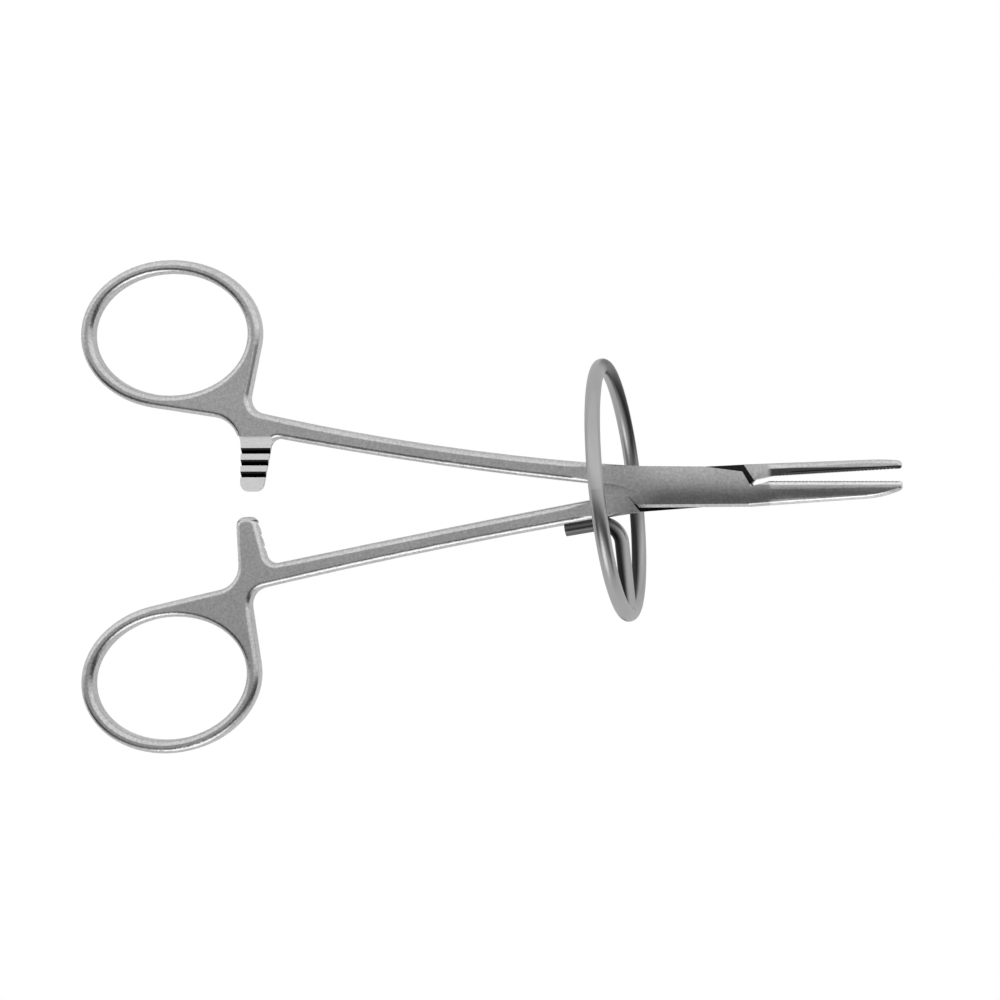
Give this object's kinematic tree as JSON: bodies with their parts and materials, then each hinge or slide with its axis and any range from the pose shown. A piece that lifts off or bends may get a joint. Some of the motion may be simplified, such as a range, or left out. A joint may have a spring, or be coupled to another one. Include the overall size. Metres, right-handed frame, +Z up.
{
  "type": "crown pliers",
  "caption": "Box-lock ratchet forceps with finger rings, slim grooved jaws and a round wire hoop carried on a bent stem around the box lock.",
  "frame": {"origin": "centre of the footprint, on the surface that the pliers lie on", "axes": "+X along the pliers towards the jaw tips, +Y towards the box arm's finger ring, +Z up; the pliers lie on the hoop and both finger rings, tips up by 12.5 degrees"},
  "size_m": [0.1372, 0.0841, 0.0429],
  "materials": {
    "arm_steel": "satin, glass-beaded flats with polished bevels",
    "pin_steel": "ground flush and satin",
    "wire_steel": "drawn round wire, lightly polished"
  },
  "bodies": {
    "box_side": {"box_arm": "arm_steel", "pivot_pin": "pin_steel"},
    "tongue_side": {"tongue_arm": "arm_steel", "hoop": "wire_steel", "hoop_stem": "wire_steel"}
  },
  "joints": [
    {"name": "box_lock_hinge", "type": "hinge", "parent": "box_side", "child": "tongue_side", "pos_m": [0.03499, 0.0033, 0.02423], "axis": [-0.2158, 0, 0.9764], "range_deg": [-3.3, 36]}
  ]
}
